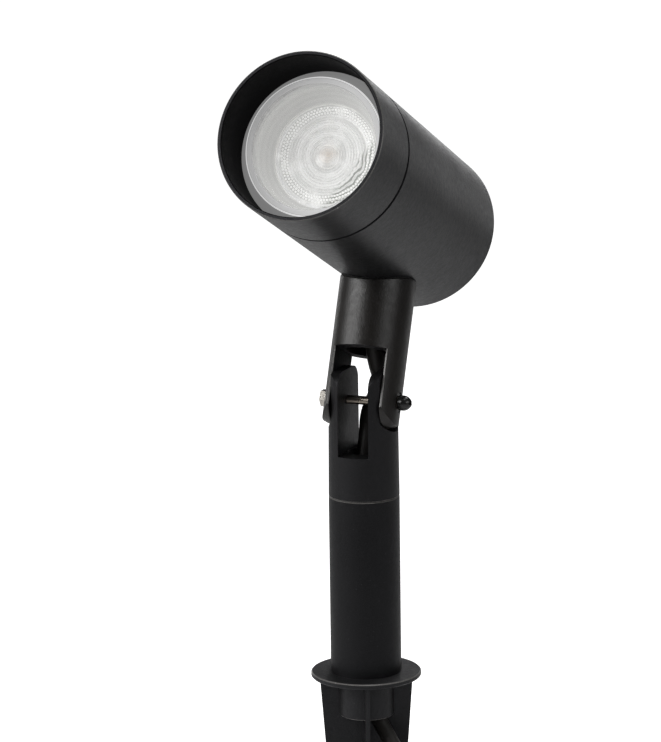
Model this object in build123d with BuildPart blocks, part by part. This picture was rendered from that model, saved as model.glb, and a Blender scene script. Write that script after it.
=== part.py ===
from build123d import *
import os
from math import sin, cos, tan, radians, pi, sqrt, degrees

# Garden spike spotlight, millimetres, +Z up.
# Origin: centre of the underside of the ground flange, on the level of the soil.
# Front of the lamp is -Y. The head is shown tilted up by TILT about the clamp bolt.

os.makedirs("parts", exist_ok=True)

# ---------------------------------------------------------------- dimensions
TILT = 23.5            # neck leans back and head points up by this angle
BOLT_Z = 127.6         # clamp bolt above the flange underside
HEAD_RISE = 90.1       # bolt axis to head axis, along the neck

HEAD_R = 37.4          # outer radius of hood and housing
HOOD_R_IN = 35.5       # bore of the hood in front of the glass
S_FRONT = 121.0        # front rim, measured forward from the neck axis
S_SEAM = 85.7          # middle of the sealing groove
SEAM_W = 1.2           # width of that groove
S_BACK = -43.5         # closed back
HOUSING_R_IN = 34.9
BACK_WALL = 3.0
SPIGOT_R = 34.8        # threaded spigot of the hood
SPIGOT_LEN = 11.8
LEDGE_S = 92.6         # front face of the glass ledge
LEDGE_R_IN = 30.6

NECK_R = 17.25
SLOT_TOP = 22.0        # ceiling of the upper fork above the bolt
SLOT_UP_W = 24.0       # between the upper cheeks
CHEEK_END_R = 12.5
SLOT_BEVEL = 0.9
END_TAPER = 0.42
NECK_BORE_R = 10.5

KNUCKLE_R = 16.0       # at the seam, tapering a little upwards
SEAM_Z = 84.4
LOW_FLAT = 11.5        # outer flats of the lower cheeks, from the middle
LOW_SLOT_W = 14.4
LOW_SLOT_FLOOR = 23.4  # below the bolt
LOW_TOP = 14.0         # above the bolt
POCKET_R = 13.2

BOLT_R = 2.0
STEM_R = 16.0
STEM_R_IN = 14.35

FLANGE_R = 25.0
FLANGE_T = 2.4
BOSS_R = 12.5
BOSS_L = 18.3
RIB_T = 2.0
RIB_HALF_TOP = 21.2
RIB_TAPER = 4.2        # degrees each side
SPIKE_L = 215.0
RIB_ANGLE = 21.4       # ribs against the knuckle, degrees

CABLE_D = 7.2
CABLE_R = CABLE_D / 2
EXIT_RHO = 6.3         # cable exit in the underside of the boss
EXIT_SLANT = 40.0      # from the vertical
EXIT_AZ = -23.6        # azimuth of the exit, between two ribs
NIPPLE_R = 6.0
NIPPLE_R_IN = 4.2

# ---------------------------------------------------------------- frames
T = radians(TILT)
X = Vector(1, 0, 0)
N = Vector(0, sin(T), cos(T))        # up along the neck
F = Vector(0, -cos(T), sin(T))       # forward along the head
P = Vector(0, 0, BOLT_Z)             # middle of the clamp bolt
H = P + N * HEAD_RISE                # head axis above the bolt


def neck_plane(h):
    # across the neck at height h above the bolt; local y points backwards
    return Plane(origin=P + N * h, x_dir=(1, 0, 0), z_dir=N)


def head_plane(s):
    # across the head at s in front of the neck axis; local y points up the neck
    return Plane(origin=H + F * s, x_dir=(1, 0, 0), z_dir=F)


HEAD_SECTION = Plane(origin=H, x_dir=F, z_dir=(-1, 0, 0))   # local x = s, local y = radius
HEAD_AXIS = Axis(H, F)


def neck_side(x):
    # side view of the neck at distance x; local x backwards, local y up the neck
    return Plane(origin=P + X * x, x_dir=(0, cos(T), -sin(T)), z_dir=(1, 0, 0))


def base_side(x):
    # side view of the lower knuckle at distance x; local x backwards, local y up
    return Plane(origin=P + X * x, x_dir=(0, 1, 0), z_dir=(1, 0, 0))


def in_head(x, y, s):
    return H + X * x + N * y + F * s


def in_neck(x, y, h):
    return P + X * x - F * y + N * h


def turn_at(a, b, c):
    return (b - a).get_angle(c - b)


def corner_radii(pts, cap=None):
    # the largest smooth arc at each corner: 0.45 of the shorter run over tan(half the turn)
    out = []
    for i in range(1, len(pts) - 1):
        run = min((pts[i] - pts[i - 1]).length, (pts[i + 1] - pts[i]).length)
        r = 0.45 * run / tan(radians(turn_at(pts[i - 1], pts[i], pts[i + 1]) / 2))
        out.append(min(r, cap) if cap else r)
    return out


def path_length(line):
    return sum(e.length for e in line.edges())


# ================================================================ ground body
# ---- spike: flange, boss and four tapering ribs, one casting
AZ = radians(EXIT_AZ)
E_OUT = Vector(cos(AZ), sin(AZ), 0)                     # outward, between the ribs
E_SIDE = Vector(-sin(AZ), cos(AZ), 0)
E_DIR = E_OUT * sin(radians(EXIT_SLANT)) - Vector(0, 0, 1) * cos(radians(EXIT_SLANT))
EXIT_PT = E_OUT * EXIT_RHO - Vector(0, 0, BOSS_L)
CORNER_Z = -BOSS_L + EXIT_RHO / tan(radians(EXIT_SLANT))
CORNER_PT = Vector(0, 0, CORNER_Z)
CHANNEL_BEND = 18.0
CORD_START = EXIT_PT + E_DIR * 0.5


def rib_half(z):
    return RIB_HALF_TOP + z * tan(radians(RIB_TAPER))


with BuildPart() as spike:
    with BuildSketch(Plane.XY):
        Circle(FLANGE_R)
    extrude(amount=FLANGE_T)
    chamfer(spike.edges().filter_by(GeomType.CIRCLE), length=0.5)
    with BuildSketch(Plane.XY.offset(-BOSS_L)):
        Circle(BOSS_R)
    extrude(amount=BOSS_L + 0.5)
    chamfer(spike.edges().filter_by(GeomType.CIRCLE).sort_by(Axis.Z)[0], length=0.5)
    zt = -(SPIKE_L - 28.0)
    for k in range(2):
        a = radians(RIB_ANGLE + 90 * k)
        rib_dir = Vector(cos(a), sin(a), 0)
        side = Plane(origin=(0, 0, 0), x_dir=rib_dir, z_dir=rib_dir.cross(Vector(0, 0, 1)))
        with BuildSketch(side):
            with BuildLine():
                Polyline((-RIB_HALF_TOP, 0.4), (RIB_HALF_TOP, 0.4), (rib_half(zt), zt),
                         (0.9, -SPIKE_L), (-0.9, -SPIKE_L), (-rib_half(zt), zt), close=True)
            make_face()
        extrude(amount=RIB_T / 2, both=True)
    # hollow for the threaded stud and the cable channel below it
    with BuildSketch(Plane.XY.offset(-6.5)):
        Circle(NIPPLE_R + 0.05)
    extrude(amount=6.5 + FLANGE_T + 0.1, mode=Mode.SUBTRACT)
    with BuildLine() as channel_line:
        FilletPolyline((0, 0, 1.5), CORNER_PT, EXIT_PT + E_DIR * 9.0, radius=CHANNEL_BEND)
    with BuildSketch(Plane(origin=(0, 0, 1.5), x_dir=(1, 0, 0), z_dir=(0, 0, -1))):
        Circle(4.15)
    sweep(path=channel_line.line, mode=Mode.SUBTRACT)
spike.part.label = "spike"

with BuildPart() as ground_nipple:
    with BuildSketch(Plane.XY.offset(-6.4)):
        Circle(NIPPLE_R)
        Circle(NIPPLE_R_IN, mode=Mode.SUBTRACT)
    extrude(amount=21.4)
    chamfer(ground_nipple.edges().filter_by(GeomType.CIRCLE).sort_by(SortBy.RADIUS)[-2:], length=0.5)
ground_nipple.part.label = "ground_nipple"

with BuildPart() as stem_insert:
    with BuildSketch(Plane.XY.offset(FLANGE_T)):
        Circle(STEM_R_IN - 0.02)
        Circle(NIPPLE_R + 0.05, mode=Mode.SUBTRACT)
    extrude(amount=13.0)
    chamfer(stem_insert.edges().filter_by(GeomType.CIRCLE).sort_by(Axis.Z)[-2:], length=0.8)
stem_insert.part.label = "stem_insert"

GRUB_Z = 74.0
with BuildPart() as stem_tube:
    with BuildSketch(Plane.XY.offset(FLANGE_T)):
        Circle(STEM_R)
        Circle(STEM_R_IN, mode=Mode.SUBTRACT)
    extrude(amount=SEAM_Z - 0.1 - FLANGE_T)
    chamfer(stem_tube.edges().filter_by(GeomType.CIRCLE).sort_by(Axis.Z)[-2:], length=0.55)
    with BuildSketch(Plane(origin=(0, 11, GRUB_Z), x_dir=(1, 0, 0), z_dir=(0, 1, 0))):
        Circle(2.0)
    extrude(amount=8, mode=Mode.SUBTRACT)
stem_tube.part.label = "stem_tube"

with BuildPart() as stem_grub_screw:
    with BuildSketch(Plane(origin=(0, 13.1, GRUB_Z), x_dir=(1, 0, 0), z_dir=(0, 1, 0))):
        Circle(1.96)
    extrude(amount=2.8)
    with BuildSketch(Plane(origin=(0, 16.0, GRUB_Z), x_dir=(1, 0, 0), z_dir=(0, -1, 0))):
        RegularPolygon(1.15, 6)
    extrude(amount=1.6, mode=Mode.SUBTRACT)
stem_grub_screw.part.label = "stem_grub_screw"

with BuildPart() as cable_grommet:
    with BuildSketch(Plane(origin=EXIT_PT - E_DIR * 3.2, x_dir=E_SIDE, z_dir=E_DIR)):
        Circle(4.13)
        Circle(CABLE_R + 0.01, mode=Mode.SUBTRACT)
    extrude(amount=3.7)
cable_grommet.part.label = "cable_grommet"

# ---- the cable inside the spike and stem, on the swivel axis
LEAD_TOP_Z = 79.0
with BuildPart() as lead_stem:
    with BuildLine() as lead_stem_line:
        FilletPolyline((0, 0, LEAD_TOP_Z), CORNER_PT, CORD_START, radius=CHANNEL_BEND)
    with BuildSketch(Plane(origin=(0, 0, LEAD_TOP_Z), x_dir=(1, 0, 0), z_dir=(0, 0, -1))):
        Circle(CABLE_R)
    sweep(path=lead_stem_line.line)
lead_stem.part.label = "lead_stem"

# ---- free cord: out of the boss, down beside the spike and along the ground to the coil
FLOOR_Z = -SPIKE_L
CORD_FLOOR = FLOOR_Z + CABLE_R


def on_cord(u, w, z):
    return E_OUT * u + E_SIDE * w + Vector(0, 0, z)


cord_steps = [(32, 40), (38, 16), (50, -2), (42, 2), (30, 42)]   # run, slant from the vertical
cord_pts = [CORD_START]
for run, slant in cord_steps:
    cord_pts.append(cord_pts[-1] + E_OUT * (run * sin(radians(slant)))
                    - Vector(0, 0, 1) * (run * cos(radians(slant))))
last = cord_pts[-1]
drop = last.Z - CORD_FLOOR
cord_pts.append(last + E_OUT * sqrt(28.0 ** 2 - drop ** 2) - Vector(0, 0, drop))
cord_pts.append(cord_pts[-1] + E_OUT * 16.0)
cord_radii = corner_radii(cord_pts)
print("cord points", [tuple(round(v, 2) for v in p) for p in cord_pts])
print("cord radii", [round(r, 1) for r in cord_radii])

with BuildPart() as supply_cord:
    with BuildLine() as cord_line:
        FilletPolyline(*cord_pts, radius=cord_radii)
    with BuildSketch(Plane(origin=CORD_START, x_dir=E_SIDE, z_dir=E_DIR)):
        Circle(CABLE_R)
    sweep(path=cord_line.line)
supply_cord.part.label = "supply_cord"
print("cord tube length", round(path_length(cord_line), 1), "volume check",
      round(supply_cord.part.volume / (pi * CABLE_R ** 2 * path_length(cord_line)), 4))

# coil of the put-away length
TIE_T = 0.7
COIL_R_OUT = 41.6                      # centre line of the outer turns
COIL_U = cord_pts[-1].dot(E_OUT)
COIL_W = COIL_R_OUT
COIL_C = on_cord(COIL_U, COIL_W, 0)
COIL_Z0 = FLOOR_Z + TIE_T
COIL_H = 3 * CABLE_D + 0.2
with BuildPart() as supply_coil:
    with BuildSketch(Plane(origin=(COIL_C.X, COIL_C.Y, COIL_Z0 + COIL_H / 2), x_dir=(1, 0, 0), z_dir=(0, -1, 0))):
        with Locations((COIL_R_OUT - CABLE_R, 0)):
            RectangleRounded(2 * CABLE_D + 0.2, COIL_H, 3.4)
    revolve(axis=Axis((COIL_C.X, COIL_C.Y, 0), (0, 0, 1)))
supply_coil.part.label = "supply_coil"

# hook-and-loop tie round the turns, on the far side
TIE_DIR = (E_OUT * 1.0 + E_SIDE * 0.35).normalized()
TIE_C = COIL_C + TIE_DIR * (COIL_R_OUT - CABLE_R) + Vector(0, 0, COIL_Z0 + COIL_H / 2)
with BuildPart() as coil_tie:
    with BuildSketch(Plane(origin=TIE_C - Vector(-TIE_DIR.Y, TIE_DIR.X, 0) * 6.0, x_dir=TIE_DIR,
                           z_dir=Vector(-TIE_DIR.Y, TIE_DIR.X, 0))):
        RectangleRounded(2 * CABLE_D + 0.2 + 2 * (TIE_T + 0.9), COIL_H + 2 * TIE_T, 3.9)
        RectangleRounded(2 * CABLE_D + 0.2 + 2 * 0.9, COIL_H, 3.2, mode=Mode.SUBTRACT)
    extrude(amount=12.0)
coil_tie.part.label = "coil_tie"

# tail: from the top turn straight to the plug
TAIL_Z = COIL_Z0 + 2.5 * CABLE_D + 0.1
TAIL_W = COIL_W + COIL_R_OUT
PLUG_U = COIL_U - 46.0
with BuildPart() as cord_tail:
    with BuildSketch(Plane(origin=on_cord(COIL_U - 16.0, TAIL_W, TAIL_Z), x_dir=E_SIDE, z_dir=E_OUT * -1)):
        Circle(CABLE_R)
    extrude(amount=COIL_U - 16.0 - PLUG_U)
cord_tail.part.label = "cord_tail"

# moulded outdoor plug, lying on the ground beside the coil
PLUG_R = TAIL_Z - FLOOR_Z
PLUG_PLANE = Plane(origin=on_cord(PLUG_U, TAIL_W, TAIL_Z), x_dir=E_OUT * -1,
                   z_dir=(E_OUT * -1).cross(E_SIDE))
PLUG_AXIS = Axis(on_cord(PLUG_U, TAIL_W, TAIL_Z), E_OUT * -1)
PLUG_LEN = 56.0
with BuildPart() as plug_body:
    with BuildSketch(PLUG_PLANE):
        with BuildLine():
            Polyline((0, 0), (0, 4.5), (22, 5.9), (24, 8.6), (29, 12.4), (31, 15.2), (36, 16.0),
                     (37, 15.0), (39.5, 15.2), (40.5, 16.6), (42.5, 16.7), (43.5, 15.6), (46, 15.8),
                     (47, 17.2), (50, PLUG_R), (PLUG_LEN - 0.6, PLUG_R), (PLUG_LEN, PLUG_R - 0.6),
                     (PLUG_LEN, 0), close=True)
        make_face()
    revolve(axis=PLUG_AXIS)
    PIN_FACE = Plane(origin=on_cord(PLUG_U - PLUG_LEN, TAIL_W, TAIL_Z), x_dir=E_SIDE, z_dir=E_OUT * -1)
    with BuildSketch(PIN_FACE.offset(-8.0)):
        with Locations((9.5, 0), (-9.5, 0)):
            Circle(2.42)
    extrude(amount=8.2, mode=Mode.SUBTRACT)
    # grooves for the earth clips, top and bottom
    with BuildSketch(PIN_FACE.offset(-5.5)):
        with Locations((0, PLUG_R - 1.4), (0, -(PLUG_R - 1.4))):
            Rectangle(7.0, 3.2)
    extrude(amount=6.0, mode=Mode.SUBTRACT)
plug_body.part.label = "plug_body"

with BuildPart() as plug_pins:
    with BuildSketch(PIN_FACE.offset(-7.9)):
        with Locations((9.5, 0), (-9.5, 0)):
            Circle(2.4)
    extrude(amount=7.9 + 19.0)
    fillet(plug_pins.edges().filter_by(GeomType.CIRCLE).group_by(Axis(PIN_FACE.origin, PIN_FACE.z_dir))[-1], radius=1.6)
plug_pins.part.label = "plug_pins"

with BuildPart() as plug_earth_clips:
    with BuildSketch(PIN_FACE.offset(-5.4)):
        with Locations((0, PLUG_R - 1.8), (0, -(PLUG_R - 1.8))):
            Rectangle(6.0, 1.0)
    extrude(amount=5.0)
plug_earth_clips.part.label = "plug_earth_clips"

# ================================================================ knuckle body
with BuildPart() as knuckle_base:
    with BuildSketch(Plane.XZ):
        with BuildLine():
            Polyline((0, SEAM_Z), (KNUCKLE_R - 0.3, SEAM_Z), (KNUCKLE_R, SEAM_Z + 0.3),
                     (KNUCKLE_R - 0.55, BOLT_Z + LOW_TOP), (0, BOLT_Z + LOW_TOP), close=True)
        make_face()
    revolve(axis=Axis.Z)
    # spigot with a ring groove and a groove for the grub screw
    with BuildSketch(Plane.XY.offset(SEAM_Z - 15.0)):
        Circle(STEM_R_IN - 0.08)
    extrude(amount=15.2)
    with BuildSketch(Plane.XY.offset(79.3)):
        Circle(STEM_R_IN + 1)
        Circle(12.65, mode=Mode.SUBTRACT)
    extrude(amount=2.0, mode=Mode.SUBTRACT)
    with BuildSketch(Plane.XY.offset(GRUB_Z - 2.3)):
        Circle(STEM_R_IN + 1)
        Circle(12.7, mode=Mode.SUBTRACT)
    extrude(amount=4.6, mode=Mode.SUBTRACT)
    # slot between the lower cheeks
    with BuildSketch(Plane.XY.offset(BOLT_Z - LOW_SLOT_FLOOR)):
        Rectangle(LOW_SLOT_W, 60)
    extrude(amount=60, mode=Mode.SUBTRACT)
    # rounded tops of the cheeks
    with BuildSketch(base_side(-25)):
        with Locations((0, 9)):
            Rectangle(60, 18)
        RectangleRounded(27.6, 2 * LOW_TOP, 6.8, mode=Mode.SUBTRACT)
    extrude(amount=50, mode=Mode.SUBTRACT)
    # pockets in which the ends of the upper cheeks turn
    for x0 in (LOW_FLAT, -LOW_FLAT - 12):
        with BuildSketch(base_side(x0)):
            Circle(POCKET_R)
            with Locations((0, 10)):
                Rectangle(60, 20)
        extrude(amount=12, mode=Mode.SUBTRACT)
    # bolt hole and cable hole
    with BuildSketch(base_side(-20)):
        Circle(BOLT_R + 0.06)
    extrude(amount=40, mode=Mode.SUBTRACT)
    with BuildSketch(Plane.XY.offset(SEAM_Z - 16)):
        Circle(4.6)
    extrude(amount=40, mode=Mode.SUBTRACT)
    # rounded mouth where the cable comes up through the floor of the slot
    with BuildSketch(Plane.XZ):
        with BuildLine():
            Polyline((0, 94.0), (4.6, 94.0), (5.1, 98.5), (6.1, 102.2), (7.1, BOLT_Z - LOW_SLOT_FLOOR + 0.05),
                     (0, BOLT_Z - LOW_SLOT_FLOOR + 0.05), close=True)
        make_face()
    revolve(axis=Axis.Z, mode=Mode.SUBTRACT)
knuckle_base.part.label = "knuckle_base"

with BuildPart() as swivel_ring:
    with BuildSketch(Plane.XZ):
        with Locations((13.5, 80.3)):
            Circle(0.8)
    revolve(axis=Axis.Z)
swivel_ring.part.label = "swivel_ring"

BOLT_SIDE = base_side(0)
with BuildPart() as clamp_bolt:
    with BuildSketch(base_side(-19.9)):
        Circle(BOLT_R)
    extrude(amount=19.9 + 17.0)
    # domed head on the right, with a cross recess
    with BuildSketch(Plane(origin=P, x_dir=(1, 0, 0), z_dir=(0, -1, 0))):
        with BuildLine():
            Polyline((16.75, 0), (16.75, 2.9), (17.3, 3.35), (18.6, 3.45))
            ThreePointArc((18.6, 3.45), (21.9, 2.35), (23.1, 0))
            Line((23.1, 0), (16.75, 0))
        make_face()
    revolve(axis=Axis(P, (1, 0, 0)))
    with BuildSketch(base_side(23.2)):
        Rectangle(3.4, 0.75)
        Rectangle(0.75, 3.4)
    extrude(amount=-2.2, mode=Mode.SUBTRACT)
clamp_bolt.part.label = "clamp_bolt"

with BuildPart() as clamp_nut:
    with BuildSketch(base_side(-19.6)):
        RegularPolygon(3.5, 6, major_radius=False)
        Circle(BOLT_R + 0.02, mode=Mode.SUBTRACT)
    extrude(amount=2.85)
clamp_nut.part.label = "clamp_nut"

with BuildPart() as friction_washers:
    for x0 in (LOW_FLAT + 0.03, -LOW_FLAT - 0.47):
        with BuildSketch(base_side(x0)):
            Circle(6.0)
            Circle(BOLT_R + 0.2, mode=Mode.SUBTRACT)
        extrude(amount=0.44)
friction_washers.part.label = "friction_washers"

# ---- cable through the knuckle: up through the floor, behind the bolt, into the neck
knuckle_lead_pts = [Vector(0, 0, LEAD_TOP_Z), Vector(0, 0, 100.0), Vector(0.7, 2.6, 112.0),
                    Vector(-0.6, 8.0, 121.0), Vector(2.6, 18.4, 132.5), in_neck(0.8, 7.2, 19.8),
                    in_neck(0, 1.3, 31.5), in_neck(0, 0, 38.5), in_neck(0, 0, 43.5)]
knuckle_radii = corner_radii(knuckle_lead_pts)
print("knuckle lead radii", [round(r, 1) for r in knuckle_radii])
with BuildPart() as lead_knuckle:
    with BuildLine() as lead_knuckle_line:
        FilletPolyline(*knuckle_lead_pts, radius=knuckle_radii)
    with BuildSketch(Plane(origin=knuckle_lead_pts[0], x_dir=(1, 0, 0),
                           z_dir=(knuckle_lead_pts[1] - knuckle_lead_pts[0]).normalized())):
        Circle(CABLE_R)
    sweep(path=lead_knuckle_line.line)
lead_knuckle.part.label = "lead_knuckle"

# ================================================================ head body
with BuildPart() as neck:
    with BuildSketch(neck_plane(-14.0)):
        Circle(NECK_R)
    extrude(amount=89.0)
    # coped top, half a millimetre clear of the housing for the gasket
    with BuildSketch(head_plane(-30)):
        Circle(HEAD_R + 0.5)
    extrude(amount=60, mode=Mode.SUBTRACT)
    with BuildSketch(neck_plane(20.0)):
        Circle(NECK_BORE_R)
    extrude(amount=22.0, mode=Mode.SUBTRACT)
    with BuildSketch(neck_plane(41.0)):
        Circle(NIPPLE_R + 0.05)
    extrude(amount=20.0, mode=Mode.SUBTRACT)
    # slot between the upper cheeks
    with BuildSketch(neck_plane(-16.0)):
        Rectangle(SLOT_UP_W, 60)
    extrude(amount=16.0 + SLOT_TOP, mode=Mode.SUBTRACT)
    # bevelled edges of the slot
    slot_edges = [e for e in neck.edges().filter_by(GeomType.LINE)
                  if abs(abs(e.center().X) - SLOT_UP_W / 2) < 0.01 and e.length > 30]
    print("slot edges", len(slot_edges))
    chamfer(slot_edges, length=SLOT_BEVEL)
    # round ends of the cheeks about the bolt
    with BuildSketch(neck_side(-25)):
        with Locations((0, -12)):
            Rectangle(60, 24)
        Circle(CHEEK_END_R, mode=Mode.SUBTRACT)
    extrude(amount=50, mode=Mode.SUBTRACT)
    # the ends taper outwards, so that their outer edges are bevelled
    for side in (1, -1):
        with BuildSketch(Plane(origin=P, x_dir=(1, 0, 0), z_dir=N)):
            with BuildLine():
                Polyline((side * 12.5, -CHEEK_END_R), (side * 19.0, -CHEEK_END_R + 6.5 * END_TAPER),
                         (side * 19.0, -24), (side * 12.5, -24), close=True)
            make_face()
        revolve(axis=Axis(P, (1, 0, 0)), revolution_arc=180, mode=Mode.SUBTRACT)
    with BuildSketch(neck_side(-25)):
        Circle(BOLT_R + 0.06)
    extrude(amount=50, mode=Mode.SUBTRACT)
    # spot faces for nut and bolt head
    for x0 in (16.73, -16.73 - 6):
        with BuildSketch(neck_side(x0)):
            Circle(4.6)
        extrude(amount=6, mode=Mode.SUBTRACT)
    # softened edge round the coped top
    top_edges = [e for e in neck.edges() if (e.center() - P).dot(N) > 44.0 and e.length > 40]
    print("top edges", [round(e.length, 1) for e in top_edges])
    chamfer(top_edges, length=0.5)
neck.part.label = "neck"

with BuildPart() as saddle_gasket:
    with BuildSketch(neck_plane(50.0)):
        Circle(NECK_R - 0.35)
        Circle(NIPPLE_R + 0.25, mode=Mode.SUBTRACT)
    extrude(amount=9.0)
    with BuildSketch(head_plane(-30)):
        Circle(HEAD_R + 0.5)
    extrude(amount=60, mode=Mode.INTERSECT)
    with BuildSketch(head_plane(-30)):
        Circle(HEAD_R)
    extrude(amount=60, mode=Mode.SUBTRACT)
saddle_gasket.part.label = "saddle_gasket"

NUT_SEAT = HEAD_RISE - 32.5            # inner face of the flat pad, above the bolt
with BuildPart() as head_nipple:
    with BuildSketch(neck_plane(42.5)):
        Circle(NIPPLE_R)
        Circle(NIPPLE_R_IN, mode=Mode.SUBTRACT)
    extrude(amount=NUT_SEAT + 6.4 - 42.5)
head_nipple.part.label = "head_nipple"

with BuildPart() as head_washer:
    with BuildSketch(neck_plane(NUT_SEAT)):
        Circle(10.0)
        Circle(NIPPLE_R + 0.2, mode=Mode.SUBTRACT)
    extrude(amount=1.0)
head_washer.part.label = "head_washer"

with BuildPart() as head_locknut:
    with BuildSketch(neck_plane(NUT_SEAT + 1.0)):
        RegularPolygon(8.5, 6, major_radius=False)
        Circle(NIPPLE_R + 0.05, mode=Mode.SUBTRACT)
    extrude(amount=4.0)
head_locknut.part.label = "head_locknut"

lead_head_pts = [in_neck(0, 0, 43.5), in_head(0, -20.0, 0), in_head(0, -11.5, -8.5)]
with BuildPart() as lead_head:
    with BuildLine() as lead_head_line:
        FilletPolyline(*lead_head_pts, radius=12.0)
    with BuildSketch(neck_plane(43.5)):
        Circle(CABLE_R)
    sweep(path=lead_head_line.line)
lead_head.part.label = "lead_head"

S_HOUSING = S_SEAM - SEAM_W / 2
LUG_S = 22.8
with BuildPart() as housing:
    with BuildSketch(HEAD_SECTION):
        with BuildLine():
            Polyline((S_HOUSING, HOUSING_R_IN + 0.3), (S_HOUSING, HEAD_R - 0.4), (S_HOUSING - 0.4, HEAD_R),
                     (S_BACK + 1.0, HEAD_R), (S_BACK, HEAD_R - 1.0), (S_BACK, 0), (S_BACK + BACK_WALL, 0),
                     (S_BACK + BACK_WALL, HOUSING_R_IN), (S_HOUSING - 0.3, HOUSING_R_IN), close=True)
        make_face()
    revolve(axis=HEAD_AXIS)
    # flat pad for the locknut
    with BuildSketch(neck_plane(HEAD_RISE - 35.0)):
        Circle(12.0)
    extrude(amount=2.5)
    # two lugs that carry the bracket
    with BuildSketch(head_plane(LUG_S - 12.0)):
        with Locations((31.2, 0), (-31.2, 0)):
            Rectangle(9.4, 10.0)
    extrude(amount=12.0)
    # raised pad for the terminal block and a boss for the earth screw
    with BuildSketch(head_plane(S_BACK + BACK_WALL - 0.5)):
        with Locations((0, 7)):
            Rectangle(24, 18)
    extrude(amount=2.5)
    with BuildSketch(head_plane(S_BACK + BACK_WALL - 0.5)):
        with Locations((20, -12)):
            Circle(4.2)
    extrude(amount=7.0)
    with BuildSketch(head_plane(-41.8)):
        with Locations((0, 7)):
            Circle(1.45)
        with Locations((20, -12)):
            Circle(1.95)
    extrude(amount=9.0, mode=Mode.SUBTRACT)
    with BuildSketch(head_plane(LUG_S - 8.0)):
        with Locations((30, 0), (-30, 0)):
            Circle(1.45)
    extrude(amount=9.0, mode=Mode.SUBTRACT)
    with BuildSketch(neck_plane(HEAD_RISE - 40.0)):
        Circle(NIPPLE_R + 0.05)
    extrude(amount=12.0, mode=Mode.SUBTRACT)
housing.part.label = "housing"

# ---- inside the housing
with BuildPart() as bracket:
    with BuildSketch(head_plane(LUG_S)):
        RectangleRounded(67.0, 14.0, 2.0)
        Circle(6.5, mode=Mode.SUBTRACT)
        with Locations((30, 0), (-30, 0)):
            Circle(1.7, mode=Mode.SUBTRACT)
        with Locations((10.6, 0), (-10.6, 0)):
            Circle(1.45, mode=Mode.SUBTRACT)
    extrude(amount=1.2)
bracket.part.label = "bracket"

with BuildPart() as bracket_screws:
    with BuildSketch(head_plane(LUG_S - 7.5)):
        with Locations((30, 0), (-30, 0)):
            Circle(1.4)
    extrude(amount=8.7)
    with BuildSketch(head_plane(LUG_S + 1.2)):
        with Locations((30, 0), (-30, 0)):
            Circle(2.8)
    extrude(amount=2.0)
    with BuildSketch(head_plane(LUG_S + 2.2)):
        with Locations((30, 0), (-30, 0)):
            Rectangle(3.2, 0.7)
            Rectangle(0.7, 3.2)
    extrude(amount=1.2, mode=Mode.SUBTRACT)
bracket_screws.part.label = "bracket_screws"

HOLDER_S = LUG_S + 1.2


def arc_slot(a0, half):
    # half-turned pin slot: from a0 - 1 to a0 + 21 degrees on the 10 mm pin circle
    a = [radians(a0 + d) for d in (-1, 10, 21)]
    with BuildSketch(mode=Mode.PRIVATE) as sk:
        Circle(5.0 + half)
        Circle(5.0 - half, mode=Mode.SUBTRACT)
        with BuildLine():
            Polyline((0, 0), *[(14 * cos(v), 14 * sin(v)) for v in a], close=True)
        make_face(mode=Mode.INTERSECT)
        with Locations(*[(5 * cos(v), 5 * sin(v)) for v in (a[0], a[2])]):
            Circle(half)
    return sk.sketch


with BuildPart() as lampholder:
    with BuildSketch(head_plane(HOLDER_S)):
        Circle(14.0)
    extrude(amount=14.4)
    chamfer(lampholder.edges().filter_by(GeomType.CIRCLE), length=0.8)
    # curved slots for the two pins of the lamp
    with BuildSketch(head_plane(31.4)):
        add(arc_slot(0, 2.7))
        add(arc_slot(180, 2.7))
    extrude(amount=8.0, mode=Mode.SUBTRACT)
    with BuildSketch(head_plane(HOLDER_S - 0.1)):
        with Locations((4.92, 0.87), (-4.92, -0.87)):
            Circle(1.3)
    extrude(amount=9.0, mode=Mode.SUBTRACT)
    with BuildSketch(head_plane(HOLDER_S - 0.1)):
        with Locations((10.6, 0), (-10.6, 0)):
            Circle(1.6)
    extrude(amount=16.0, mode=Mode.SUBTRACT)
    with BuildSketch(head_plane(34.5)):
        with Locations((10.6, 0), (-10.6, 0)):
            Circle(2.75)
    extrude(amount=6.0, mode=Mode.SUBTRACT)
lampholder.part.label = "lampholder"

with BuildPart() as holder_screws:
    with BuildSketch(head_plane(LUG_S - 1.0)):
        with Locations((10.6, 0), (-10.6, 0)):
            Circle(1.4)
    extrude(amount=34.5 - LUG_S + 1.0)
    with BuildSketch(head_plane(34.5)):
        with Locations((10.6, 0), (-10.6, 0)):
            Circle(2.6)
    extrude(amount=1.9)
    with BuildSketch(head_plane(35.4)):
        with Locations((10.6, 0), (-10.6, 0)):
            Rectangle(3.0, 0.7)
            Rectangle(0.7, 3.0)
    extrude(amount=1.2, mode=Mode.SUBTRACT)
holder_screws.part.label = "holder_screws"

with BuildPart() as holder_contacts:
    with BuildSketch(head_plane(31.4)):
        add(arc_slot(0, 2.5))
        add(arc_slot(180, 2.5))
    extrude(amount=0.8)
holder_contacts.part.label = "holder_contacts"

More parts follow.
